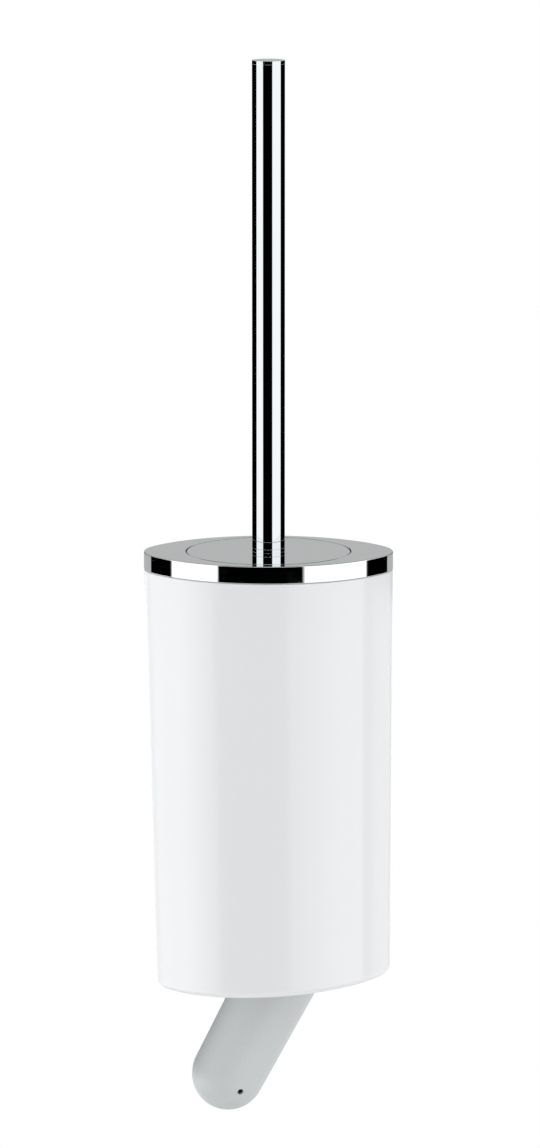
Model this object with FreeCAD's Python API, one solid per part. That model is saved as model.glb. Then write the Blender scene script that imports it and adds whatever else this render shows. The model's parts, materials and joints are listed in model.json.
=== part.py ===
import FreeCAD, Part
import math
import os

# Wall-mounted toilet brush holder, in millimetres.
# +Z is up, the wall is the plane Y = 0 and the holder stands in front of it, on the -Y side.
# The origin is on the wall, midway between the wall plate's two screw holes.

V = FreeCAD.Vector
UP = V(0, 0, 1)
OUT = V(0, -1, 0)

# ---- driving dimensions ----

# the brush and its lid share one upright axis
AXIS_Y = -62.0
LID_TOP_Z = 211.6

# wall bracket: a half-round capsule that leans to the right and widens upwards
LEAN_DEG = 27.3
LOWER_REACH = 39.3
UPPER_REACH = 65.0
LOWER_R = 16.1
UPPER_R = 18.3
SKIRT_DEPTH = 2.0
BRACKET_WALL = 3.0
HOLLOW_DEPTH = 13.0
SADDLE_FLAT_DEPTH = 17.5

# wall plate and the screw that locks the bracket to it
PLATE_THICK = 3.0
PLATE_END_REACH = 27.0
PLATE_R = 12.0
WALL_HOLE_PITCH = 50.0
WALL_HOLE_R = 2.6
POST_R = 5.0
POST_DEPTH = 9.0
GRUB_R = 1.25
GRUB_HOLE_R = 1.4
GRUB_OFFSET_X = 5.6
GRUB_OFFSET_Z = -4.6
GRUB_SINK = 0.7
GRUB_HEX_R = 0.75
GRUB_HEX_DEPTH = 1.3
GRUB_POST_OFFSET = 2.0

# the oval of the cup and ring: four arcs, sized as shares of its half width
OVAL_DEPTH_SHARE = 0.7495
OVAL_END_SHARE = 0.4507

# cup: an oval that tapers downwards, with its lower edge cut on a slant
CUP_TOP_A = 53.1
CUP_LOW_A = 50.6
CUP_LOW_SHIFT = 1.88
CUP_LOW_Z = 24.4
CUP_CUT_SLOPE = 0.0597
CUP_SPARE_H = 8.0
CUP_EDGE_R = 2.7
CUP_WALL = 3.2
CUP_FLOOR = 4.0
CUP_INNER_EDGE_R = 2.0

# cup fixings
SCREW_X = 21.0
SCREW_Z = (40.0, 53.0)
SCREW_R = 2.0
SCREW_HEAD_R = 3.6
SCREW_HEAD_H = 2.4
SCREW_HEAD_EDGE_R = 0.6
SCREW_LENGTH = 20.0
SCREW_HEX_R = 1.45
SCREW_HEX_DEPTH = 1.6
SCREW_HOLE_R = 2.2
WASHER_R = 4.2
WASHER_T = 0.8
INSERT_R = 2.8
INSERT_LENGTH = 4.5
INSERT_SINK = 0.2
BOSS_R = 4.8
BOSS_WALL = 1.6
SADDLE_R = 12.0
SADDLE_FROM = 44.0
SADDLE_TO = 62.0

# top ring
RING_A = 53.25
RING_H = 7.35
RING_EDGE_R = 0.3
RING_OPENING_R = 35.4
LEDGE_R = 33.75
LEDGE_DROP = 4.9
GASKET_T = 0.4
GASKET_OUT_INSET = 0.5
GASKET_IN_INSET = 2.9
SKIRT_GAP = 0.25
SKIRT_T = 1.8
SKIRT_BOTTOM_Z = 196.0

# inner container
LINER_FLANGE_R = 35.1
LINER_FLANGE_T = 1.4
LINER_TOP_R = 33.4
LINER_LOW_R = 31.0
LINER_LOW_Z = 32.0
LINER_WALL = 1.6
LINER_EDGE_R = 4.0

# lid
DISC_R = 35.1
DISC_T = 2.5
DISC_EDGE_R = 0.7
COLLAR_H = 1.5
LID_BOSS_R = 10.0
LID_BOSS_DEPTH = 6.5
BUSH_OUTER_R = 6.4
LID_GASKET_T = 0.9
LID_GASKET_IN_R = 30.5
LID_GASKET_OUT_R = 34.5

# handle and stem
HANDLE_R = 7.0
HANDLE_TOP_Z = 421.2
TUBE_WALL = 1.2
CAP_T = 1.6
CAP_EDGE_R = 0.15
CAP_SPIGOT = 8.0
PLUG_LENGTH = 20.0
PLUG_END_WALL = 4.0
NECK_R = 5.0
RUNNING_GAP = 0.05
STEM_R = 4.0
STEM_END_GAP = 1.0
SLEEVE_R = 5.5
LID_WASHER_R = 9.0
LID_WASHER_T = 1.2
NUT_R = 7.8
NUT_H = 4.0

# brush head
HUB_TOP_Z = 112.0
HUB_LOW_Z = 44.0
HUB_R = 9.0
HUB_CONE_H = 10.0
HUB_NOSE = 4.0
HUB_BORE_LIFT = 14.0
STEM_LOW_LIFT = 16.0
HUB_INSERT_R = 6.0
HUB_INSERT_H = 14.0
HUB_INSERT_WALL = 1.2
ROWS = 8
ROW_FIRST_Z = 47.0
ROW_PITCH = 7.6
ROW_H = 5.8
BRISTLE_R = 28.2
TIP_LOW_Z = 37.0
TIP_R = 16.0
TIP_END_R = 10.0
TIP_BEVEL_H = 3.0

# how far the blocks that only cut or trim reach past the part
PAST = 200.0
# how close two places must be to count as the same one
TOUCHING = 0.001

# ---- derived places ----

LEAN = math.radians(LEAN_DEG)
ALONG = V(math.sin(LEAN), 0, math.cos(LEAN))
ACROSS = V(math.cos(LEAN), 0, -math.sin(LEAN))
SIN_45 = math.sqrt(0.5)
RING_LOW_Z = LID_TOP_Z - RING_H
CUP_TOP_Z = RING_LOW_Z - GASKET_T
LEDGE_Z = LID_TOP_Z - LEDGE_DROP
COLLAR_TOP_Z = LID_TOP_Z + COLLAR_H
TUBE_LOW_Z = COLLAR_TOP_Z + RUNNING_GAP
TUBE_TOP_Z = HANDLE_TOP_Z - CAP_T
TUBE_IN_R = HANDLE_R - TUBE_WALL
PLUG_BORE_TOP_Z = TUBE_LOW_Z + PLUG_LENGTH - PLUG_END_WALL
LID_BOSS_LOW_Z = LID_TOP_Z - LID_BOSS_DEPTH
LID_WASHER_TOP_Z = LID_BOSS_LOW_Z - RUNNING_GAP
NUT_TOP_Z = LID_WASHER_TOP_Z - LID_WASHER_T
NUT_LOW_Z = NUT_TOP_Z - NUT_H
WASHER_FACE_Y = -HOLLOW_DEPTH + WASHER_T
# the oval's arcs: the end arcs' centres, the long arcs' radius and centres, and the angle where they meet
OVAL_END_X_SHARE = 1 - OVAL_END_SHARE
OVAL_SIDE_SHARE = ((OVAL_END_X_SHARE ** 2 + OVAL_DEPTH_SHARE ** 2 - OVAL_END_SHARE ** 2)
                   / (2 * (OVAL_DEPTH_SHARE - OVAL_END_SHARE)))
OVAL_SIDE_Y_SHARE = OVAL_SIDE_SHARE - OVAL_DEPTH_SHARE
OVAL_JOIN = math.atan2(OVAL_SIDE_Y_SHARE, OVAL_END_X_SHARE)


def save(name, shape):
    shape = shape.removeSplitter()
    assert shape.isValid(), name
    shape.exportStep("parts/" + name + ".step")
    print(name, len(shape.Solids), round(shape.Volume, 1))


def on_axis(z):
    return V(0, AXIS_Y, z)


def upright(radius, low, high):
    return Part.makeCylinder(radius, high - low, on_axis(low), UP)


def tube(outer, inner, low, high):
    return upright(outer, low, high).cut(upright(inner, low, high))


def lathe(points):
    """Turn a closed outline of (radius, height) points about the brush axis."""
    wire = Part.makePolygon([V(r, AXIS_Y, z) for r, z in points + points[:1]])
    return Part.Face(wire).revolve(on_axis(0), UP, 360)


def outward(radius, x, z, y_from, y_to):
    """A cylinder that runs straight out from the wall."""
    return Part.makeCylinder(radius, y_from - y_to, V(x, y_from, z), OUT)


def round_edges(shape, radius, keep):
    edges = [e for e in shape.Edges if keep(e)]
    assert edges
    return shape.makeFillet(radius, edges)


def is_level_edge(edge, z, radius=None):
    box = edge.BoundBox
    if abs(box.ZMin - z) > TOUCHING or abs(box.ZMax - z) > TOUCHING:
        return False
    return radius is None or abs(box.XMax - radius) < TOUCHING


# ---- wall bracket and plate ----

def along(distance, y=0.0, beside=0.0):
    """A point along the bracket's leaning centre line, or beside it."""
    return ALONG * distance + ACROSS * beside + V(0, y, 0)


def capsule_side(low_r, high_r, low, high, y, hand):
    """One side of a capsule's outline, from its bottom to its top; hand 1 is the right."""
    tilt = math.asin((high_r - low_r) / (high - low))
    out_share = hand * math.cos(tilt)
    down_share = math.sin(tilt)
    low_side = along(low - low_r * down_share, y, low_r * out_share)
    high_side = along(high - high_r * down_share, y, high_r * out_share)
    low_middle = along(low - low_r * SIN_45, y, hand * low_r * SIN_45)
    high_middle = along(high + high_r * SIN_45, y, hand * high_r * SIN_45)
    return [
        Part.Arc(along(low - low_r, y), low_middle, low_side).toShape(),
        Part.makeLine(low_side, high_side),
        Part.Arc(high_side, high_middle, along(high + high_r, y)).toShape(),
    ]


def capsule_round(low_r, high_r, low, high):
    """The solid that two balls and the cone around them make, along the bracket's centre line."""
    bottom = along(low - low_r, -SKIRT_DEPTH)
    top = along(high + high_r, -SKIRT_DEPTH)
    edges = capsule_side(low_r, high_r, low, high, -SKIRT_DEPTH, 1)
    edges.append(Part.makeLine(top, bottom))
    return Part.Face(Part.Wire(edges)).revolve(bottom, ALONG, 360)


def half_in_front(solid, depth):
    box = Part.makeBox(2 * PAST, PAST, 2 * PAST, V(-PAST, -depth - PAST, -PAST))
    return solid.common(box)


def capsule_flat(low_r, high_r, low, high, y_from, y_to):
    """A flat capsule outline, extruded out from the wall."""
    edges = capsule_side(low_r, high_r, low, high, y_from, 1)
    edges += reversed(capsule_side(low_r, high_r, low, high, y_from, -1))
    return Part.Face(Part.Wire(edges)).extrude(V(0, y_to - y_from, 0))


def dome(low_r, high_r, low, high):
    front = half_in_front(capsule_round(low_r, high_r, low, high), SKIRT_DEPTH)
    return front.fuse(capsule_flat(low_r, high_r, low, high, 0, -SKIRT_DEPTH))


def grub_axis():
    """Where the set screw meets the dome, and the direction out of the dome there."""
    centre = along(-LOWER_REACH, -SKIRT_DEPTH)
    depth = math.sqrt(LOWER_R ** 2 - GRUB_OFFSET_X ** 2 - GRUB_OFFSET_Z ** 2)
    out = V(GRUB_OFFSET_X, -depth, GRUB_OFFSET_Z)
    out.normalize()
    return centre + out * LOWER_R, out


def saddle_block(y_from, y_to):
    return capsule_flat(SADDLE_R, SADDLE_R, SADDLE_FROM, SADDLE_TO, y_from, y_to)


def make_bracket():
    body = dome(LOWER_R, UPPER_R, -LOWER_REACH, UPPER_REACH)
    hollow = dome(LOWER_R - BRACKET_WALL, UPPER_R - BRACKET_WALL, -LOWER_REACH, UPPER_REACH)
    behind = Part.makeBox(2 * PAST, PAST, 2 * PAST, V(-PAST, -HOLLOW_DEPTH, -PAST))
    body = body.cut(hollow.common(behind))
    body = body.cut(saddle_block(-SADDLE_FLAT_DEPTH, AXIS_Y))
    for z in SCREW_Z:
        body = body.cut(outward(SCREW_HOLE_R, SCREW_X, z, WASHER_FACE_Y, AXIS_Y))
    point, out = grub_axis()
    return body.cut(Part.makeCylinder(GRUB_HOLE_R, 3 * BRACKET_WALL, point + out * BRACKET_WALL, out * -1))


def make_grub_screw():
    point, out = grub_axis()
    post_y = -POST_DEPTH - RUNNING_GAP
    start = point - out * GRUB_SINK
    length = (post_y - start.y - GRUB_R * math.hypot(out.x, out.z)) / -out.y
    screw = Part.makeCylinder(GRUB_R, length, start, out * -1)
    socket = Part.makeCylinder(GRUB_HEX_R, GRUB_HEX_DEPTH, start, out * -1)
    return screw.cut(socket)


def make_wall_plate():
    plate = capsule_flat(PLATE_R, PLATE_R, -PLATE_END_REACH, PLATE_END_REACH, 0, -PLATE_THICK)
    for side in (-1, 1):
        hole = along(side * WALL_HOLE_PITCH / 2)
        plate = plate.cut(outward(WALL_HOLE_R, hole.x, hole.z, 0, -PLATE_THICK))
    post = along(GRUB_POST_OFFSET - LOWER_REACH)
    return plate.fuse(outward(POST_R, post.x, post.z, 0, -POST_DEPTH))


# ---- oval ----

def oval_wire(half_width, inset, x, z):
    """The four-arc oval, drawn in by inset all round and centred on x."""
    end_x = half_width * OVAL_END_X_SHARE
    end_r = half_width * OVAL_END_SHARE - inset
    join_x = end_x + end_r * math.cos(OVAL_JOIN)
    join_y = end_r * math.sin(OVAL_JOIN)
    tip = end_x + end_r
    depth = half_width * OVAL_DEPTH_SHARE - inset
    middle = V(x, AXIS_Y, z)
    back_right = middle + V(join_x, join_y, 0)
    back_left = middle + V(-join_x, join_y, 0)
    front_left = middle + V(-join_x, -join_y, 0)
    front_right = middle + V(join_x, -join_y, 0)
    return Part.Wire([
        Part.Arc(front_right, middle + V(tip, 0, 0), back_right).toShape(),
        Part.Arc(back_right, middle + V(0, depth, 0), back_left).toShape(),
        Part.Arc(back_left, middle + V(-tip, 0, 0), front_left).toShape(),
        Part.Arc(front_left, middle + V(0, -depth, 0), front_right).toShape(),
    ])


def oval(half_width, inset, low, high):
    return Part.Face(oval_wire(half_width, inset, 0, low)).extrude(V(0, 0, high - low))


# ---- cup ----

def cup_place(z):
    """The cup's half width and the shift of its middle at one level."""
    part = (CUP_TOP_Z - z) / (CUP_TOP_Z - CUP_LOW_Z)
    return CUP_TOP_A + (CUP_LOW_A - CUP_TOP_A) * part, CUP_LOW_SHIFT * part


def cup_form(inset, low_z, high_z):
    """The cup's tapering oval, drawn in by inset all round, between two levels."""
    sections = []
    for z in (low_z, high_z):
        half_width, shift = cup_place(z)
        sections.append(oval_wire(half_width, inset, shift, z))
    return Part.makeLoft(sections, True, True)


def slant_z(x, lift):
    return CUP_LOW_Z + lift + CUP_CUT_SLOPE * (x - CUP_LOW_SHIFT)


def under_slant(lift):
    """Everything below the slanted cut, raised by lift."""
    left = V(-PAST, AXIS_Y - PAST, slant_z(-PAST, lift))
    right = V(PAST, AXIS_Y - PAST, slant_z(PAST, lift))
    down = V(0, 0, -PAST)
    side = Part.makePolygon([left, right, right + down, left + down, left])
    return Part.Face(side).extrude(V(0, 2 * PAST, 0))


def on_slant(edge, lift):
    """Whether an edge runs round the slanted cut."""
    middle = edge.valueAt((edge.FirstParameter + edge.LastParameter) / 2)
    places = [vertex.Point for vertex in edge.Vertexes] + [middle]
    return all(abs(place.z - slant_z(place.x, lift)) < TOUCHING for place in places)


def cup_solid(inset, lift, edge_r):
    solid = cup_form(inset, CUP_LOW_Z - CUP_SPARE_H, CUP_TOP_Z).cut(under_slant(lift))
    return round_edges(solid, edge_r, lambda edge: on_slant(edge, lift))


def cup_back_y(x, z):
    """The depth of the cup's outer back surface at one place."""
    half_width, shift = cup_place(z)
    across = x - shift
    side_r = half_width * OVAL_SIDE_SHARE
    return AXIS_Y + math.sqrt(side_r ** 2 - across ** 2) - half_width * OVAL_SIDE_Y_SHARE


def insert_face_y(z):
    return cup_back_y(SCREW_X + INSERT_R, z) - INSERT_SINK


def make_cup():
    cup = cup_solid(0, 0, CUP_EDGE_R)
    inner = cup_solid(CUP_WALL, CUP_FLOOR, CUP_INNER_EDGE_R)
    for z in SCREW_Z:
        boss_end = insert_face_y(z) - INSERT_LENGTH - BOSS_WALL
        inner = inner.cut(outward(BOSS_R, SCREW_X, z, 0, boss_end))
    cup = cup.cut(inner)
    for z in SCREW_Z:
        cup = cup.cut(outward(INSERT_R, SCREW_X, z, 0, insert_face_y(z) - INSERT_LENGTH))
    return cup


def make_cup_inserts():
    inserts = []
    for z in SCREW_Z:
        face = insert_face_y(z)
        sleeve = outward(INSERT_R, SCREW_X, z, face, face - INSERT_LENGTH)
        bore = outward(SCREW_R, SCREW_X, z, face, face - INSERT_LENGTH)
        inserts.append(sleeve.cut(bore))
    return Part.makeCompound(inserts)


def make_cup_screws():
    screws = []
    head_y = WASHER_FACE_Y + SCREW_HEAD_H
    for z in SCREW_Z:
        head = outward(SCREW_HEAD_R, SCREW_X, z, head_y, WASHER_FACE_Y)
        head = round_edges(head, SCREW_HEAD_EDGE_R, lambda e: abs(e.BoundBox.YMin - head_y) < TOUCHING)
        shank = outward(SCREW_R, SCREW_X, z, WASHER_FACE_Y, WASHER_FACE_Y - SCREW_LENGTH)
        socket = outward(SCREW_HEX_R, SCREW_X, z, head_y, head_y - SCREW_HEX_DEPTH)
        screws.append(head.fuse(shank).cut(socket))
    return Part.makeCompound(screws)


def make_cup_washers():
    washers = []
    for z in SCREW_Z:
        disc = outward(WASHER_R, SCREW_X, z, WASHER_FACE_Y, -HOLLOW_DEPTH)
        washers.append(disc.cut(outward(SCREW_HOLE_R, SCREW_X, z, WASHER_FACE_Y, -HOLLOW_DEPTH)))
    return Part.makeCompound(washers)


def make_cup_saddle():
    saddle = saddle_block(-SADDLE_FLAT_DEPTH, AXIS_Y).cut(cup_form(0, CUP_LOW_Z, CUP_TOP_Z))
    for z in SCREW_Z:
        saddle = saddle.cut(outward(SCREW_HOLE_R, SCREW_X, z, -SADDLE_FLAT_DEPTH, AXIS_Y))
    return saddle


# ---- top ring ----

def make_top_ring():
    ring = oval(RING_A, 0, RING_LOW_Z, LID_TOP_Z)
    ring = round_edges(ring, RING_EDGE_R, lambda e: is_level_edge(e, LID_TOP_Z))
    skirt_inset = CUP_WALL + SKIRT_GAP
    skirt = oval(CUP_TOP_A, skirt_inset, SKIRT_BOTTOM_Z, RING_LOW_Z)
    skirt = skirt.cut(oval(CUP_TOP_A, skirt_inset + SKIRT_T, SKIRT_BOTTOM_Z, RING_LOW_Z))
    ring = ring.fuse(skirt)
    ring = ring.cut(upright(RING_OPENING_R, LEDGE_Z, LID_TOP_Z))
    return ring.cut(upright(LEDGE_R, RING_LOW_Z, LEDGE_Z))


def make_ring_gasket():
    gasket = oval(CUP_TOP_A, GASKET_OUT_INSET, CUP_TOP_Z, RING_LOW_Z)
    return gasket.cut(oval(CUP_TOP_A, GASKET_IN_INSET, CUP_TOP_Z, RING_LOW_Z))


# ---- inner container ----

def make_liner():
    body = lathe([(0, LINER_LOW_Z), (LINER_LOW_R, LINER_LOW_Z), (LINER_TOP_R, LEDGE_Z), (0, LEDGE_Z)])
    body = round_edges(body, LINER_EDGE_R, lambda e: is_level_edge(e, LINER_LOW_Z, LINER_LOW_R))
    floor_z = LINER_LOW_Z + LINER_WALL
    low_r = LINER_LOW_R - LINER_WALL
    top_r = LINER_TOP_R - LINER_WALL
    space = lathe([(0, floor_z), (low_r, floor_z), (top_r, LEDGE_Z), (0, LEDGE_Z)])
    space = round_edges(space, LINER_EDGE_R - LINER_WALL, lambda e: is_level_edge(e, floor_z, low_r))
    flange = tube(LINER_FLANGE_R, top_r, LEDGE_Z, LEDGE_Z + LINER_FLANGE_T)
    return body.cut(space).fuse(flange)


# ---- lid ----

def make_lid_disc():
    disc = upright(DISC_R, LID_TOP_Z - DISC_T, LID_TOP_Z)
    disc = round_edges(disc, DISC_EDGE_R, lambda e: is_level_edge(e, LID_TOP_Z))
    disc = disc.fuse(upright(HANDLE_R, LID_TOP_Z, COLLAR_TOP_Z))
    disc = disc.fuse(upright(LID_BOSS_R, LID_BOSS_LOW_Z, LID_TOP_Z - DISC_T))
    return disc.cut(upright(BUSH_OUTER_R, LID_BOSS_LOW_Z, COLLAR_TOP_Z))


def make_lid_gasket():
    top = LID_TOP_Z - DISC_T
    return tube(LID_GASKET_OUT_R, LID_GASKET_IN_R, top - LID_GASKET_T, top)


def make_lid_bush():
    return tube(BUSH_OUTER_R, NECK_R + RUNNING_GAP, LID_BOSS_LOW_Z, COLLAR_TOP_Z)


# ---- handle and stem ----

def make_handle_cap():
    cap = upright(HANDLE_R, TUBE_TOP_Z, HANDLE_TOP_Z)
    cap = round_edges(cap, CAP_EDGE_R, lambda e: is_level_edge(e, HANDLE_TOP_Z))
    return cap.fuse(upright(TUBE_IN_R, TUBE_TOP_Z - CAP_SPIGOT, TUBE_TOP_Z))


def make_handle_plug():
    plug = upright(TUBE_IN_R, TUBE_LOW_Z, TUBE_LOW_Z + PLUG_LENGTH)
    plug = plug.fuse(upright(NECK_R, NUT_LOW_Z, TUBE_LOW_Z))
    return plug.cut(upright(STEM_R, NUT_LOW_Z, PLUG_BORE_TOP_Z))


def make_lid_nut():
    corners = [on_axis(NUT_LOW_Z) + V(NUT_R * math.cos(i * math.pi / 3), NUT_R * math.sin(i * math.pi / 3), 0)
               for i in range(7)]
    nut = Part.Face(Part.makePolygon(corners)).extrude(V(0, 0, NUT_H))
    return nut.cut(upright(NECK_R, NUT_LOW_Z, NUT_TOP_Z))


# ---- brush head ----

def make_brush_hub():
    hub = lathe([
        (0, HUB_LOW_Z), (HUB_R - HUB_NOSE, HUB_LOW_Z), (HUB_R, HUB_LOW_Z + HUB_NOSE),
        (HUB_R, HUB_TOP_Z - HUB_CONE_H), (HUB_INSERT_R + HUB_INSERT_WALL, HUB_TOP_Z), (0, HUB_TOP_Z),
    ])
    hub = hub.cut(upright(HUB_INSERT_R, HUB_TOP_Z - HUB_INSERT_H, HUB_TOP_Z))
    return hub.cut(upright(STEM_R, HUB_LOW_Z + HUB_BORE_LIFT, HUB_TOP_Z))


def make_bristle_row(index):
    low = ROW_FIRST_Z + index * ROW_PITCH
    return tube(BRISTLE_R, HUB_R, low, low + ROW_H)


def make_bristle_tip():
    return lathe([
        (0, TIP_LOW_Z), (TIP_END_R, TIP_LOW_Z), (TIP_R, TIP_LOW_Z + TIP_BEVEL_H),
        (TIP_R, HUB_LOW_Z), (0, HUB_LOW_Z),
    ])


os.makedirs("parts", exist_ok=True)

save("wall_plate", make_wall_plate())
save("bracket", make_bracket())
save("bracket_grub_screw", make_grub_screw())
save("cup_saddle", make_cup_saddle())
save("cup_screws", make_cup_screws())
save("cup_washers", make_cup_washers())
save("cup_inserts", make_cup_inserts())
save("cup", make_cup())
save("ring_gasket", make_ring_gasket())
save("top_ring", make_top_ring())
save("liner", make_liner())
save("lid_disc", make_lid_disc())
save("lid_gasket", make_lid_gasket())
save("lid_bush", make_lid_bush())
save("handle_tube", tube(HANDLE_R, TUBE_IN_R, TUBE_LOW_Z, TUBE_TOP_Z))
save("handle_cap", make_handle_cap())
save("handle_plug", make_handle_plug())
save("stem_rod", upright(STEM_R, HUB_LOW_Z + STEM_LOW_LIFT, PLUG_BORE_TOP_Z - STEM_END_GAP))
save("lid_washer", tube(LID_WASHER_R, NECK_R, NUT_TOP_Z, LID_WASHER_TOP_Z))
save("lid_nut", make_lid_nut())
save("stem_sleeve", tube(SLEEVE_R, STEM_R, HUB_TOP_Z, NUT_LOW_Z))
save("brush_hub", make_brush_hub())
save("hub_insert", tube(HUB_INSERT_R, STEM_R, HUB_TOP_Z - HUB_INSERT_H, HUB_TOP_Z))
for row in range(ROWS):
    save("bristle_row_%02d" % (row + 1), make_bristle_row(row))
save("bristle_tip", make_bristle_tip())
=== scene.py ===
import json
import math
import random

import bpy
from mathutils import Matrix, Vector


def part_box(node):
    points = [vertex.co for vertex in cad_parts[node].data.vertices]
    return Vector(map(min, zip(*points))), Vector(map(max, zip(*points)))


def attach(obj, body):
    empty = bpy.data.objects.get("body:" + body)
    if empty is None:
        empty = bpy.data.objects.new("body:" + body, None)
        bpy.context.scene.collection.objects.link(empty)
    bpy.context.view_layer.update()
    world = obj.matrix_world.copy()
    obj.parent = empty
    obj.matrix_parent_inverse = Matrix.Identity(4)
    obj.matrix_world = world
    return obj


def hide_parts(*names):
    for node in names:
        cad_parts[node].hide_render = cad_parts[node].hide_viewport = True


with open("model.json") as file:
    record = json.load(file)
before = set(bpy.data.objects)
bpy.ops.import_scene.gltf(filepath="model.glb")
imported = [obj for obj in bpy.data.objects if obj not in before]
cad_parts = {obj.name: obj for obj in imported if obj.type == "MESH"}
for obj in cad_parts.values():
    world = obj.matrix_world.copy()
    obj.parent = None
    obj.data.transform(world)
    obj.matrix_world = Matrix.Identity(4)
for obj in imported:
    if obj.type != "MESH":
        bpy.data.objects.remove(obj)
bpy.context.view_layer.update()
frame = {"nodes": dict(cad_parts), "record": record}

# Looks for the wall-mounted toilet brush holder. Lengths are in millimetres, and MM turns them to metres.

nodes = frame["nodes"]
scene = bpy.context.scene

# ---- sizes: read from the frame where it gives them ----

MM = 0.001


def low(node):
    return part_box(node)[0] / MM


def high(node):
    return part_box(node)[1] / MM


AXIS_Y = (low("handle_tube").y + high("handle_tube").y) / 2
RING_A = high("top_ring").x
LID_TOP_Z = high("top_ring").z
SKIRT_LOW_Z = low("top_ring").z
RING_LOW_Z = high("ring_gasket").z
CUP_TOP_Z = high("cup").z
CUP_TOP_A = high("cup").x
DISC_R = high("lid_disc").x
COLLAR_TOP_Z = high("lid_disc").z
LID_BOSS_LOW_Z = low("lid_disc").z
HANDLE_R = high("handle_tube").x
TUBE_LOW_Z = low("handle_tube").z
TUBE_TOP_Z = high("handle_tube").z
HANDLE_TOP_Z = high("handle_cap").z
CAP_LOW_Z = low("handle_cap").z
FLANGE_R = high("liner").x
FLANGE_TOP_Z = high("liner").z
LINER_LOW_Z = low("liner").z
BUSH_R = high("lid_bush").x
BRISTLE_R = high("bristle_row_01").x
HUB_R = high("brush_hub").x
TIP_LOW_Z = low("bristle_tip").z
HUB_LOW_Z = low("brush_hub").z

# the cup's lower end, which is cut on a slant
CUP_LOW_A = 50.6
CUP_LOW_SHIFT = 1.88
CUP_LOW_Z = 24.4
CUP_CUT_SLOPE = 0.0597
CUP_EDGE_R = 2.7
CUP_WALL = 3.2
CUP_FLOOR = 4.0
CUP_INNER_EDGE_R = 2.0
CUP_RIM_R = 0.2

# the oval of the cup and ring: four arcs, sized as shares of its half width
OVAL_DEPTH_SHARE = 0.7495
OVAL_END_SHARE = 0.4507
OVAL_END_X_SHARE = 1 - OVAL_END_SHARE
OVAL_SIDE_SHARE = ((OVAL_END_X_SHARE ** 2 + OVAL_DEPTH_SHARE ** 2 - OVAL_END_SHARE ** 2)
                   / (2 * (OVAL_DEPTH_SHARE - OVAL_END_SHARE)))
OVAL_SIDE_Y_SHARE = OVAL_SIDE_SHARE - OVAL_DEPTH_SHARE
OVAL_JOIN = math.atan2(OVAL_SIDE_Y_SHARE, OVAL_END_X_SHARE)

# the ring's ledge carries the container's flange, and its skirt reaches down inside the cup
RING_OPENING_R = 35.4
RING_EDGE_R = 0.3
RING_SHARP_R = 0.12
LEDGE_R = 33.75
LEDGE_DROP = 4.9
LEDGE_Z = LID_TOP_Z - LEDGE_DROP
SKIRT_INSET = 3.45
SKIRT_T = 1.8

# the tight joints between polished pieces have an edge that is only just broken
JOINT_EDGE_R = 0.03
TUBE_IN_R = 5.8
CAP_EDGE_R = 0.15
CAP_LOW_EDGE_R = 0.4
DISC_T = 2.5
DISC_LOW_Z = LID_TOP_Z - DISC_T
DISC_EDGE_R = 0.7
DISC_LOW_EDGE_R = 0.2
LID_BOSS_R = 10.0
LID_BOSS_EDGE_R = 0.5

LINER_TOP_R = 33.4
LINER_LOW_R = 31.0
LINER_WALL = 1.6
LINER_SHOULDER_R = 0.3
LINER_RIM_R = 0.5
LINER_FOOT_R = 4.0
LINER_INNER_FOOT_R = 2.4
# the container's floor stops this far from the axis, so that no face is folded onto it
LINER_PINHOLE_R = 0.05

# how finely curves are drawn
ROUND_STEPS = 192
OVAL_STEPS = 320
CORNER_STEPS = 5
CAP_CORNER_STEPS = 6
RIM_STEPS = 3
CUP_EDGE_STEPS = 12
RING_EDGE_STEPS = 4
WALL_ROWS = 24
FLOOR_INSETS = (8, 14, 20)
# the wall leans, so a point's height and its place across are found together in this many rounds
SETTLING_ROUNDS = 4
# a face counts towards a vertex's normal when it has this share of the largest neighbour's area
LARGE_SHARE = 0.3


# ---- mesh helpers ----

def add_piece(name, verts, faces, slot, body, node):
    """A mesh object from millimetre points, riding on a body and standing for one CAD node."""
    mesh = bpy.data.meshes.new(name)
    mesh.from_pydata([Vector(v) * MM for v in verts], [], faces)
    mesh.validate()
    mesh.shade_smooth()
    mesh.materials.append(materials[slot])
    piece = bpy.data.objects.new(name, mesh)
    scene.collection.objects.link(piece)
    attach(piece, body)
    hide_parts(node)
    return piece


def crisp(piece):
    """Vertex normals that follow the largest faces, so flats stay flat right up to their rounded edges."""
    mesh = piece.data
    around = [[] for _ in mesh.vertices]
    for face in mesh.polygons:
        for vertex in face.vertices:
            around[vertex].append(face)
    normals = []
    for faces in around:
        largest = max(face.area for face in faces)
        total = Vector()
        for face in faces:
            if face.area > LARGE_SHARE * largest:
                total += face.normal
        normals.append(total.normalized())
    mesh.normals_split_custom_set_from_vertices(normals)


def quarter_turn(steps):
    """Angles from 0 to a right angle."""
    return [i / steps * math.pi / 2 for i in range(steps + 1)]


def full_turn(steps):
    """Angles all the way round, without the last one."""
    return [2 * math.pi * i / steps for i in range(steps)]


def rounded(corners, steps=CORNER_STEPS):
    """A closed outline of (x, y, radius) corners, with each radius turned into an arc."""
    points = []
    count = len(corners)
    for i, (x, y, radius) in enumerate(corners):
        here = Vector((x, y))
        if radius == 0:
            points.append((x, y))
            continue
        back = (Vector(corners[i - 1][:2]) - here).normalized()
        ahead = (Vector(corners[(i + 1) % count][:2]) - here).normalized()
        half = back.angle(ahead) / 2
        centre = here + (back + ahead).normalized() * (radius / math.sin(half))
        start = here + back * (radius / math.tan(half)) - centre
        end = here + ahead * (radius / math.tan(half)) - centre
        turn = start.angle_signed(end)
        for k in range(steps + 1):
            spoke = start.copy()
            spoke.rotate(Matrix.Rotation(-turn * k / steps, 2))
            points.append(tuple(centre + spoke))
    return points


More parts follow.
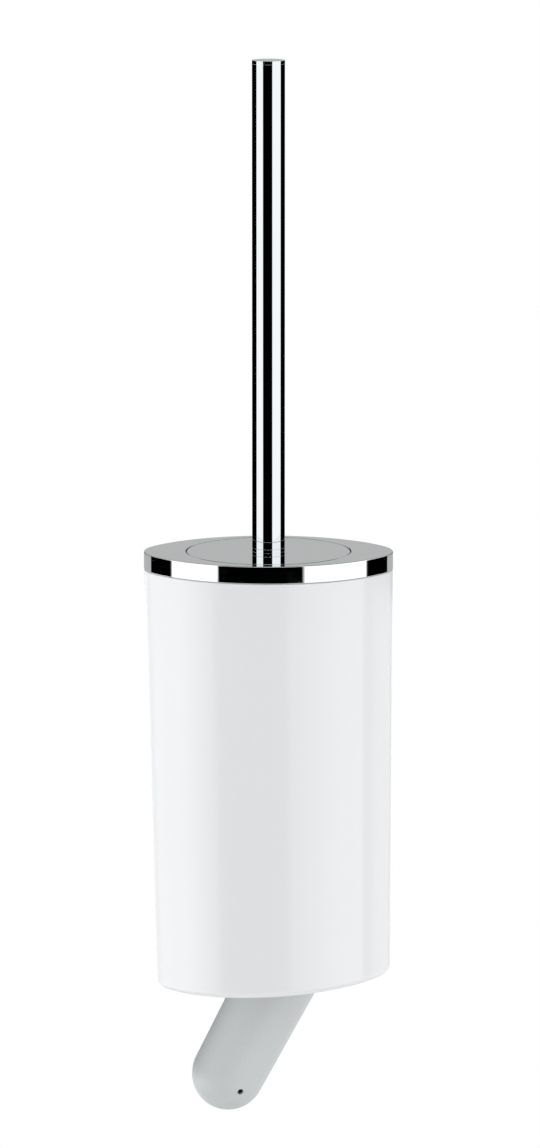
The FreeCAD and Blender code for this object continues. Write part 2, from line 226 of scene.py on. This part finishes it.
def close_loops(loops):
    """Faces between neighbouring rings of points, and between the last ring and the first."""
    count = len(loops[0])
    verts = [p for loop in loops for p in loop]
    faces = []
    for j in range(len(loops)):
        this_row = j * count
        next_row = ((j + 1) % len(loops)) * count
        for i in range(count):
            k = (i + 1) % count
            faces.append((this_row + i, this_row + k, next_row + k, next_row + i))
    return verts, faces


def open_loops(loops):
    """Faces between neighbouring rings of points, with both ends left open."""
    verts, faces = close_loops(loops)
    return verts, faces[:len(loops[0]) * (len(loops) - 1)]


def capped(loops):
    """Faces along a row of rings, with a point closing each end."""
    count = len(loops[0])
    verts, faces = open_loops(loops)
    for ring_start, level, flip in ((0, loops[0], True), (count * (len(loops) - 1), loops[-1], False)):
        middle = sum((Vector(p) for p in level), Vector()) / count
        verts.append(tuple(middle))
        tip = len(verts) - 1
        for i in range(count):
            k = (i + 1) % count
            pair = (ring_start + k, ring_start + i) if flip else (ring_start + i, ring_start + k)
            faces.append((*pair, tip))
    return verts, faces


def circle(radius, z, steps=ROUND_STEPS):
    return [(radius * math.cos(t), AXIS_Y + radius * math.sin(t), z) for t in full_turn(steps)]


def oval_point(half_width, inset, facing):
    """The point of the oval that faces one way, from the oval's middle, with the oval drawn in by inset."""
    x, y = 0, 0
    if abs(math.sin(facing)) < math.sin(OVAL_JOIN):
        x = math.copysign(half_width * OVAL_END_X_SHARE, math.cos(facing))
        radius = half_width * OVAL_END_SHARE - inset
    else:
        y = -math.copysign(half_width * OVAL_SIDE_Y_SHARE, math.sin(facing))
        radius = half_width * OVAL_SIDE_SHARE - inset
    return x + radius * math.cos(facing), y + radius * math.sin(facing)


def oval(half_width, inset, z):
    loop = []
    for facing in full_turn(OVAL_STEPS):
        x, y = oval_point(half_width, inset, facing)
        loop.append((x, AXIS_Y + y, z))
    return loop


def lathe(outline):
    """Turn a closed (radius, height) outline about the brush axis."""
    return close_loops([circle(r, z) for r, z in outline])


# ---- material helpers ----

# the part of a noise texture's range that holds nearly all of its values
NOISE_LOW = 0.3
NOISE_HIGH = 0.7


def new_material(name, **shader):
    material = bpy.data.materials.new(name)
    material.use_nodes = True
    bsdf = material.node_tree.nodes["Principled BSDF"]
    for socket, value in shader.items():
        bsdf.inputs[socket.replace("_", " ")].default_value = value
    return material


def object_noise(material, scale, detail=3.0, stretch=(1, 1, 1)):
    """A noise texture in the object's own space; scale is in bumps per metre."""
    tree = material.node_tree
    coords = tree.nodes.new("ShaderNodeTexCoord")
    mapping = tree.nodes.new("ShaderNodeMapping")
    mapping.inputs["Scale"].default_value = stretch
    noise = tree.nodes.new("ShaderNodeTexNoise")
    noise.inputs["Scale"].default_value = scale
    noise.inputs["Detail"].default_value = detail
    tree.links.new(coords.outputs["Object"], mapping.inputs["Vector"])
    tree.links.new(mapping.outputs["Vector"], noise.inputs["Vector"])
    return noise.outputs["Fac"]


def vary_colour(material, fac, dark, light):
    tree = material.node_tree
    ramp = tree.nodes.new("ShaderNodeValToRGB")
    ramp.color_ramp.elements[0].position = NOISE_LOW
    ramp.color_ramp.elements[1].position = NOISE_HIGH
    ramp.color_ramp.elements[0].color = (*dark, 1)
    ramp.color_ramp.elements[1].color = (*light, 1)
    tree.links.new(fac, ramp.inputs["Fac"])
    tree.links.new(ramp.outputs["Color"], tree.nodes["Principled BSDF"].inputs["Base Color"])


def vary_roughness(material, fac, smooth, rough):
    tree = material.node_tree
    span = tree.nodes.new("ShaderNodeMapRange")
    span.inputs["From Min"].default_value = NOISE_LOW
    span.inputs["From Max"].default_value = NOISE_HIGH
    span.inputs["To Min"].default_value = smooth
    span.inputs["To Max"].default_value = rough
    tree.links.new(fac, span.inputs["Value"])
    tree.links.new(span.outputs["Result"], tree.nodes["Principled BSDF"].inputs["Roughness"])


def add_bump(material, fac, height_mm, strength=1.0):
    tree = material.node_tree
    bump = tree.nodes.new("ShaderNodeBump")
    bump.inputs["Strength"].default_value = strength
    bump.inputs["Distance"].default_value = height_mm * MM
    tree.links.new(fac, bump.inputs["Height"])
    tree.links.new(bump.outputs["Normal"], tree.nodes["Principled BSDF"].inputs["Normal"])


# ---- materials, one for each slot of the record ----

def make_chrome():
    chrome = new_material("chrome", Metallic=1.0)
    vary_colour(chrome, object_noise(chrome, 40), dark=(0.82, 0.855, 0.865), light=(0.845, 0.875, 0.885))
    vary_roughness(chrome, object_noise(chrome, 160, detail=5.0), smooth=0.005, rough=0.02)
    return chrome


def make_white_cup():
    white = new_material("white_cup", IOR=1.6)
    vary_colour(white, object_noise(white, 12), dark=(0.762, 0.770, 0.784), light=(0.772, 0.780, 0.794))
    vary_roughness(white, object_noise(white, 220, detail=4.0), smooth=0.05, rough=0.09)
    add_bump(white, object_noise(white, 45, detail=1.0), height_mm=0.01)
    return white


def make_satin_metal():
    satin = new_material("satin_metal", Metallic=0.0, IOR=1.5)
    grain = object_noise(satin, 900, detail=4.0)
    vary_colour(satin, grain, dark=(0.50, 0.53, 0.535), light=(0.525, 0.55, 0.555))
    vary_roughness(satin, object_noise(satin, 400, detail=4.0), smooth=0.36, rough=0.46)
    add_bump(satin, object_noise(satin, 3500, detail=2.0), height_mm=0.012, strength=0.6)
    return satin


def make_steel(name, dark, light, stretch=(1, 1, 1)):
    steel = new_material(name, Metallic=1.0)
    vary_colour(steel, object_noise(steel, 300, 4.0, stretch), dark, light)
    vary_roughness(steel, object_noise(steel, 700, 4.0, stretch), smooth=0.22, rough=0.42)
    add_bump(steel, object_noise(steel, 1200, 3.0, stretch), height_mm=0.01, strength=0.5)
    return steel


def make_brass():
    brass = new_material("brass", Metallic=1.0)
    vary_colour(brass, object_noise(brass, 250), dark=(0.70, 0.52, 0.24), light=(0.78, 0.60, 0.30))
    vary_roughness(brass, object_noise(brass, 600, stretch=(1, 1, 8)), smooth=0.25, rough=0.4)
    add_bump(brass, object_noise(brass, 500, detail=2.0, stretch=(1, 1, 12)), height_mm=0.01, strength=0.5)
    return brass


def make_plastic(name, dark, light, smooth, rough, grain_mm):
    plastic = new_material(name, IOR=1.48)
    vary_colour(plastic, object_noise(plastic, 120), dark, light)
    vary_roughness(plastic, object_noise(plastic, 500, detail=4.0), smooth, rough)
    add_bump(plastic, object_noise(plastic, 1800), height_mm=grain_mm, strength=0.6)
    return plastic


materials = {
    "chrome": make_chrome(),
    "white_cup": make_white_cup(),
    "satin_metal": make_satin_metal(),
    "zinc_steel": make_steel("zinc_steel", (0.50, 0.51, 0.53), (0.64, 0.65, 0.66)),
    "dark_steel": make_steel("dark_steel", (0.05, 0.05, 0.055), (0.10, 0.10, 0.10)),
    "stainless": make_steel("stainless", (0.55, 0.55, 0.55), (0.66, 0.66, 0.66), stretch=(1, 1, 6)),
    "brass": make_brass(),
    "grey_nylon": make_plastic(
        "grey_nylon", (0.42, 0.435, 0.44), (0.46, 0.475, 0.48), smooth=0.38, rough=0.5, grain_mm=0.02),
    "liner_plastic": make_plastic(
        "liner_plastic", (0.76, 0.78, 0.80), (0.80, 0.82, 0.84), smooth=0.3, rough=0.42, grain_mm=0.008),
    "white_plastic": make_plastic(
        "white_plastic", (0.80, 0.80, 0.80), (0.84, 0.84, 0.84), smooth=0.3, rough=0.4, grain_mm=0.01),
    "bristle": make_plastic(
        "bristle", (0.82, 0.83, 0.83), (0.90, 0.90, 0.89), smooth=0.3, rough=0.4, grain_mm=0.002),
    "seal_rubber": make_plastic(
        "seal_rubber", (0.50, 0.51, 0.52), (0.54, 0.55, 0.56), smooth=0.55, rough=0.7, grain_mm=0.02),
}

for part in frame["record"]["subparts"]:
    mesh = nodes[part["node"]].data
    mesh.materials.clear()
    mesh.materials.append(materials[part["material_slot"]])


# ---- cup ----

def cup_oval(inset, z_of_x, z_start):
    """A ring of points on the cup's tapering wall, drawn in by inset, at heights that z_of_x gives."""
    ring = []
    for facing in full_turn(OVAL_STEPS):
        z = z_start
        for _ in range(SETTLING_ROUNDS):
            part = (CUP_TOP_Z - z) / (CUP_TOP_Z - CUP_LOW_Z)
            half_width = CUP_TOP_A + (CUP_LOW_A - CUP_TOP_A) * part
            x, y = oval_point(half_width, inset, facing)
            x += CUP_LOW_SHIFT * part
            z = z_of_x(x)
        ring.append((x, AXIS_Y + y, z))
    return ring


def slant(lift):
    """Heights along the slanted cut, raised by lift."""
    return lambda x: CUP_LOW_Z + lift + CUP_CUT_SLOPE * (x - CUP_LOW_SHIFT)


def between(share, lift):
    """Heights that run from the level rim, share 0, to the slanted cut, share 1."""
    cut = slant(lift)
    return lambda x: CUP_TOP_Z + (cut(x) - CUP_TOP_Z) * share


def cup_wall(inset, lift, edge_r, rim_r):
    """Rings from the rim down one face of the wall and across the floor; rim_r is below 0 on the inside."""
    rings = []
    for a in quarter_turn(RIM_STEPS):
        rim_inset = inset + (rim_r * (1 - math.sin(a)))
        rim_drop = abs(rim_r) * (1 - math.cos(a))
        rings.append(cup_oval(rim_inset, lambda x, drop=rim_drop: CUP_TOP_Z - drop, CUP_TOP_Z))
    for row in range(1, WALL_ROWS):
        rings.append(cup_oval(inset, between(row / WALL_ROWS, lift + edge_r), CUP_TOP_Z))
    for a in quarter_turn(CUP_EDGE_STEPS):
        rise = edge_r * (1 - math.sin(a))
        rings.append(cup_oval(inset + edge_r * (1 - math.cos(a)), slant(lift + rise), CUP_LOW_Z))
    for drawn_in in FLOOR_INSETS:
        rings.append(cup_oval(inset + drawn_in, slant(lift), CUP_LOW_Z))
    return rings


def make_cup():
    outside = cup_wall(0, 0, CUP_EDGE_R, CUP_RIM_R)
    inside = cup_wall(CUP_WALL, CUP_FLOOR, CUP_INNER_EDGE_R, -CUP_RIM_R)
    verts, faces = capped(list(reversed(outside)) + inside)
    crisp(add_piece("cup_shell", verts, faces, "white_cup", "holder", "cup"))


make_cup()


# ---- top ring ----

def make_ring():
    """Rings of points up the round opening, over the top, down the oval side and back under the ledge."""
    loops = [
        circle(RING_OPENING_R, LEDGE_Z, OVAL_STEPS),
        circle(RING_OPENING_R, LID_TOP_Z - RING_SHARP_R, OVAL_STEPS),
        circle(RING_OPENING_R + RING_SHARP_R, LID_TOP_Z, OVAL_STEPS),
    ]
    for a in quarter_turn(RING_EDGE_STEPS):
        inset = RING_EDGE_R * (1 - math.sin(a))
        drop = RING_EDGE_R * (1 - math.cos(a))
        loops.append(oval(RING_A, inset, LID_TOP_Z - drop))
    loops.append(oval(RING_A, 0, RING_LOW_Z + RING_SHARP_R))
    loops.append(oval(RING_A, RING_SHARP_R, RING_LOW_Z))
    outer = SKIRT_INSET
    inner = SKIRT_INSET + SKIRT_T
    for inset, z in ((outer, RING_LOW_Z), (outer, SKIRT_LOW_Z), (inner, SKIRT_LOW_Z), (inner, RING_LOW_Z)):
        loops.append(oval(CUP_TOP_A, inset, z))
    loops.append(circle(LEDGE_R, RING_LOW_Z, OVAL_STEPS))
    loops.append(circle(LEDGE_R, LEDGE_Z, OVAL_STEPS))
    verts, faces = close_loops(loops)
    crisp(add_piece("polished_ring", verts, faces, "chrome", "holder", "top_ring"))


make_ring()


# ---- lid, handle and inner container ----

def make_lathed(name, corners, slot, body, node):
    verts, faces = lathe(rounded(corners))
    crisp(add_piece(name, verts, faces, slot, body, node))


make_lathed("lid_plate", [
    (BUSH_R, LID_BOSS_LOW_Z, 0),
    (LID_BOSS_R, LID_BOSS_LOW_Z, LID_BOSS_EDGE_R),
    (LID_BOSS_R, DISC_LOW_Z, 0),
    (DISC_R, DISC_LOW_Z, DISC_LOW_EDGE_R),
    (DISC_R, LID_TOP_Z, DISC_EDGE_R),
    (HANDLE_R, LID_TOP_Z, JOINT_EDGE_R),
    (HANDLE_R, COLLAR_TOP_Z, JOINT_EDGE_R),
    (BUSH_R, COLLAR_TOP_Z, 0),
], "chrome", "lid", "lid_disc")

make_lathed("handle_shaft", [
    (TUBE_IN_R, TUBE_LOW_Z, 0),
    (HANDLE_R, TUBE_LOW_Z, JOINT_EDGE_R),
    (HANDLE_R, TUBE_TOP_Z, JOINT_EDGE_R),
    (TUBE_IN_R, TUBE_TOP_Z, 0),
], "chrome", "brush", "handle_tube")

make_lathed("liner_pot", [
    (LINER_PINHOLE_R, LINER_LOW_Z, 0),
    (LINER_LOW_R, LINER_LOW_Z, LINER_FOOT_R),
    (LINER_TOP_R, LEDGE_Z, LINER_SHOULDER_R),
    (FLANGE_R, LEDGE_Z, LINER_SHOULDER_R),
    (FLANGE_R, FLANGE_TOP_Z, LINER_RIM_R),
    (LINER_TOP_R - LINER_WALL, FLANGE_TOP_Z, LINER_RIM_R),
    (LINER_LOW_R - LINER_WALL, LINER_LOW_Z + LINER_WALL, LINER_INNER_FOOT_R),
    (LINER_PINHOLE_R, LINER_LOW_Z + LINER_WALL, 0),
], "liner_plastic", "liner", "liner")


def make_cap():
    outline = rounded([
        (0, CAP_LOW_Z, 0),
        (TUBE_IN_R, CAP_LOW_Z, CAP_LOW_EDGE_R),
        (TUBE_IN_R, TUBE_TOP_Z, 0),
        (HANDLE_R, TUBE_TOP_Z, JOINT_EDGE_R),
        (HANDLE_R, HANDLE_TOP_Z, CAP_EDGE_R),
        (0, HANDLE_TOP_Z, 0),
    ], CAP_CORNER_STEPS)
    verts, faces = capped([circle(r, z) for r, z in outline if r > 0])
    crisp(add_piece("end_cap", verts, faces, "chrome", "brush", "handle_cap"))


make_cap()


# ---- brush head ----

BRISTLE_D = 0.42
BRISTLE_TAPER = 0.35
BRISTLE_SIDES = 4
BRISTLE_JOINTS = 4

ROW_SEED = 7
TUFTS = 20
BRISTLES_A_TUFT = 26
ROOT_DEPTH = 0.6
ROOT_SPREAD = 0.8
END_SPREAD = 2.89
ROW_EDGE = 0.4
SHORT_OF_FULL = 0.5
LENGTH_SPREAD = 0.7
BOW_ACROSS = 0.5
BOW_DOWN = 0.3
BOW_UP = 0.1

TIP_SEED = 11
TIP_BRISTLES = 420
TIP_ROOT_DEPTH = 1.0
TIP_ROOT_R = 4.6
TIP_FLARE_R = 9.5
TIP_DOMING = 0.45
TIP_SHORT_LEAST = 0.2
TIP_SHORT_MOST = 0.9
TIP_SAG = Vector((0, 0, -0.15))

NEARLY_UPRIGHT = 1e-6


def bristle(verts, faces, root, tip, sag):
    """One tapering bristle from root to tip, bowed by sag."""
    run = tip - root
    side = run.cross(Vector((0, 0, 1)))
    if side.length < NEARLY_UPRIGHT:
        side = run.cross(Vector((1, 0, 0)))
    side.normalize()
    rise = side.cross(run).normalized()
    first = len(verts)
    for j in range(BRISTLE_JOINTS):
        share = j / (BRISTLE_JOINTS - 1)
        centre = root + run * share + sag * (share * share)
        radius = BRISTLE_D / 2 * (1 - BRISTLE_TAPER * share)
        for t in full_turn(BRISTLE_SIDES):
            verts.append(tuple(centre + side * (radius * math.cos(t)) + rise * (radius * math.sin(t))))
    for j in range(BRISTLE_JOINTS - 1):
        for k in range(BRISTLE_SIDES):
            a = first + j * BRISTLE_SIDES + k
            b = first + j * BRISTLE_SIDES + (k + 1) % BRISTLE_SIDES
            faces.append((a, b, b + BRISTLE_SIDES, a + BRISTLE_SIDES))
    last = first + (BRISTLE_JOINTS - 1) * BRISTLE_SIDES
    faces.append(tuple(reversed(range(first, first + BRISTLE_SIDES))))
    faces.append(tuple(range(last, last + BRISTLE_SIDES)))


def make_bristle_rows():
    """Rows of tufts round the hub, each row's tufts standing between those of its neighbours."""
    rng = random.Random(ROW_SEED)
    rows = sorted(n for n in nodes if n.startswith("bristle_row_"))
    for index, node in enumerate(rows):
        verts, faces = [], []
        centre = Vector((0, AXIS_Y, (low(node).z + high(node).z) / 2))
        half = (high(node).z - low(node).z) / 2
        for tuft in range(TUFTS):
            around = 2 * math.pi * (tuft + 0.5 * (index % 2)) / TUFTS
            out = Vector((math.cos(around), math.sin(around), 0))
            across = Vector((-out.y, out.x, 0))
            for _ in range(BRISTLES_A_TUFT):
                u = rng.uniform(-1, 1)
                w = rng.uniform(-1, 1)
                root_offset = across * (u * ROOT_SPREAD) + Vector((0, 0, w * ROOT_SPREAD))
                start = centre + out * (HUB_R - ROOT_DEPTH) + root_offset
                length = BRISTLE_R - HUB_R - SHORT_OF_FULL - rng.uniform(0, LENGTH_SPREAD)
                spread = across * (u * END_SPREAD) + Vector((0, 0, w * (half - ROW_EDGE)))
                bow = across * rng.uniform(-BOW_ACROSS, BOW_ACROSS)
                bow += Vector((0, 0, rng.uniform(-BOW_DOWN, BOW_UP)))
                bristle(verts, faces, start, start + out * length + spread, bow)
        add_piece(node + "_tufts", verts, faces, "bristle", "brush", node)


def make_bristle_tip():
    """The tuft under the hub, splayed and domed."""
    rng = random.Random(TIP_SEED)
    verts, faces = [], []
    root_z = HUB_LOW_Z + TIP_ROOT_DEPTH
    drop = root_z - TIP_LOW_Z
    for _ in range(TIP_BRISTLES):
        around = rng.uniform(0, 2 * math.pi)
        reach = math.sqrt(rng.random())
        out = Vector((math.cos(around), math.sin(around), 0))
        start = Vector((0, AXIS_Y, root_z)) + out * (reach * TIP_ROOT_R)
        fall = drop * (1 - TIP_DOMING * reach * reach) - rng.uniform(TIP_SHORT_LEAST, TIP_SHORT_MOST)
        end = start + out * (reach * TIP_FLARE_R) - Vector((0, 0, fall))
        bristle(verts, faces, start, end, TIP_SAG)
    add_piece("bristle_tip_tuft", verts, faces, "bristle", "brush", "bristle_tip")


make_bristle_rows()
make_bristle_tip()


# ---- stage, studio light and camera ----

# the stage's sizes are in metres
FLOOR_Z = -0.6
STAGE_R = 12.0
STAGE_H = 10.0
STAGE_BEND_R = 2.0
STAGE_MIDDLE_R = 0.001
STAGE_SIDES = 96
STAGE_BEND_STEPS = 12


def make_stage():
    """A pale floor that sweeps up into a wall all round, seen only by the camera."""
    outline = [(STAGE_MIDDLE_R, FLOOR_Z)]
    for a in quarter_turn(STAGE_BEND_STEPS):
        r = STAGE_R - STAGE_BEND_R * (1 - math.sin(a))
        outline.append((r, FLOOR_Z + STAGE_BEND_R * (1 - math.cos(a))))
    outline.append((STAGE_R, FLOOR_Z + STAGE_H))
    verts, faces = open_loops([
        [(r * math.cos(t), r * math.sin(t), z) for t in full_turn(STAGE_SIDES)] for r, z in outline])
    mesh = bpy.data.meshes.new("stage")
    mesh.from_pydata(verts, [], faces)
    mesh.shade_smooth()
    stage = bpy.data.objects.new("stage", mesh)
    scene.collection.objects.link(stage)
    mesh.materials.append(new_material(
        "stage_white", Roughness=1.0, Base_Color=(0, 0, 0, 1), Specular_IOR_Level=0.0,
        Emission_Color=(1, 1, 1, 1), Emission_Strength=1.0))
    stage.visible_diffuse = False
    stage.visible_glossy = False
    stage.visible_transmission = False
    stage.visible_shadow = False


make_stage()

# The studio round the object, as (bearing in degrees, brightness). Bearing 0 is straight in front of the
# object and bearings grow towards its right. The upright handle sees two tall softboxes with black
# between and beside them. Flat tops see the patch of grey right behind the object.
EYE_PANELS = [(-180, 0.5), (-165, 0.0), (-92, 1.08), (-39, 0.0), (27, 1.08), (94, 0.0), (165, 0.5)]
# The ring sees the softboxes' brighter lower ends and a grey wall behind them.
RING_PANELS = [(-180, 0.5), (-120.6, 0.0), (-89.4, 1.25), (-43, 0.0), (29.7, 1.25), (90.8, 0.0),
               (126.4, 0.5)]
PANEL_EDGE = 0.7
# The cup looks slightly downwards, where the panels are softer and wrap further round.
LOWER_PANELS = [(-180, 1.3), (-135, 1.35), (-115, 2.3), (-98, 2.7), (-83, 3.15), (-68, 2.7), (-58, 2.17),
                (-51, 1.87), (-47, 1.3), (-44, 0.85), (14, 0.85), (18, 1.67), (35, 1.95), (57, 2.47),
                (80, 2.27), (87, 2.1), (89, 1.25), (97, 1.25), (105, 1.6), (126, 1.45), (160, 0.85),
                (180, 1.1)]
# Above the softboxes there is light in front of the object and a grey wall behind it.
UPPER_PANELS = [(-180, 0.45), (-125, 0.45), (-95, 1.8), (95, 1.8), (125, 0.45), (180, 0.45)]
# a ramp's colours stop at 1, so brightnesses are held as shares of this one
BRIGHTEST = 3.4
OVERHEAD = 0.08
UNDERNEATH = 0.7
# heights, as the sine of the elevation, at which one zone gives way to the next
UNDERNEATH_TO_LOWER = (-0.60, -0.50)
LOWER_TO_RING = (-0.179, -0.1755)
RING_TO_EYE = (-0.1685, -0.1665)
EYE_TO_UPPER = (0.18, 0.22)
UPPER_TO_OVERHEAD = (0.48, 0.62)


def stepped(panels):
    """Stops for panels with hard edges: each brightness holds until the next bearing."""
    stops = [panels[0]]
    for (_, before), (start, bright) in zip(panels, panels[1:]):
        stops += [(start - PANEL_EDGE, before), (start + PANEL_EDGE, bright)]
    return stops + [(180, panels[-1][1])]


def make_world():
    """Light and reflections that depend on the bearing and the elevation."""
    world = bpy.data.worlds.new("studio")
    scene.world = world
    world.use_nodes = True
    tree = world.node_tree
    link = tree.links.new
    coords = tree.nodes.new("ShaderNodeTexCoord")
    split = tree.nodes.new("ShaderNodeSeparateXYZ")
    link(coords.outputs["Generated"], split.inputs["Vector"])

    def set_or_link(socket, value):
        if isinstance(value, (int, float)):
            socket.default_value = value
        else:
            link(value, socket)

    def math_node(operation, *values):
        node = tree.nodes.new("ShaderNodeMath")
        node.operation = operation
        for socket, value in zip(node.inputs, values):
            set_or_link(socket, value)
        return node.outputs[0]

    towards_front = math_node("MULTIPLY", split.outputs["Y"], -1.0)
    bearing = math_node("ARCTAN2", split.outputs["X"], towards_front)
    turn = math_node("MULTIPLY_ADD", bearing, 1 / (2 * math.pi), 0.5)

    def panel_light(stops):
        ramp = tree.nodes.new("ShaderNodeValToRGB")
        while len(ramp.color_ramp.elements) < len(stops):
            ramp.color_ramp.elements.new(0.5)
        for element, (degrees, bright) in zip(ramp.color_ramp.elements, stops):
            element.position = degrees / 360 + 0.5
            level = bright / BRIGHTEST
            element.color = (level, level, level, 1)
        link(turn, ramp.inputs["Fac"])
        return math_node("MULTIPLY", ramp.outputs["Color"], BRIGHTEST)

    def blend(heights, below, above):
        span = tree.nodes.new("ShaderNodeMapRange")
        span.interpolation_type = "SMOOTHSTEP"
        span.inputs["From Min"].default_value = heights[0]
        span.inputs["From Max"].default_value = heights[1]
        link(split.outputs["Z"], span.inputs["Value"])
        mix = tree.nodes.new("ShaderNodeMix")
        link(span.outputs["Result"], mix.inputs["Factor"])
        set_or_link(mix.inputs["A"], below)
        set_or_link(mix.inputs["B"], above)
        return mix.outputs["Result"]

    lower = blend(UNDERNEATH_TO_LOWER, UNDERNEATH, panel_light(LOWER_PANELS))
    ring = blend(LOWER_TO_RING, lower, panel_light(stepped(RING_PANELS)))
    eye = blend(RING_TO_EYE, ring, panel_light(stepped(EYE_PANELS)))
    upper = blend(EYE_TO_UPPER, eye, panel_light(UPPER_PANELS))
    whole = blend(UPPER_TO_OVERHEAD, upper, OVERHEAD)
    link(whole, tree.nodes["Background"].inputs["Color"])


make_world()

# the camera stands in front of the object, above the lid, and looks slightly down through a long lens
CAMERA_AIM_Z = 210.5
CAMERA_DISTANCE = 2350.0
CAMERA_RISE_DEG = 9.6916
CAMERA_PITCH_DEG = 9.9062
CAMERA_YAW_DEG = 0.016
CAMERA_SENSOR = 36.0
FOCAL_PER_SENSOR = 4.7892
CAMERA_FAR_M = 60.0


def make_camera():
    camera = bpy.data.cameras.new("camera")
    camera.sensor_width = CAMERA_SENSOR
    camera.lens = FOCAL_PER_SENSOR * CAMERA_SENSOR
    camera.clip_end = CAMERA_FAR_M
    holder = bpy.data.objects.new("camera", camera)
    scene.collection.objects.link(holder)
    rise = math.radians(CAMERA_RISE_DEG)
    back = Vector((0, -math.cos(rise), math.sin(rise))) * CAMERA_DISTANCE
    holder.location = (Vector((0, AXIS_Y, CAMERA_AIM_Z)) + back) * MM
    holder.rotation_euler = (math.radians(90 - CAMERA_PITCH_DEG), 0, math.radians(-CAMERA_YAW_DEG))
    scene.camera = holder


make_camera()
scene.view_settings.view_transform = "Standard"
scene.view_settings.look = "None"
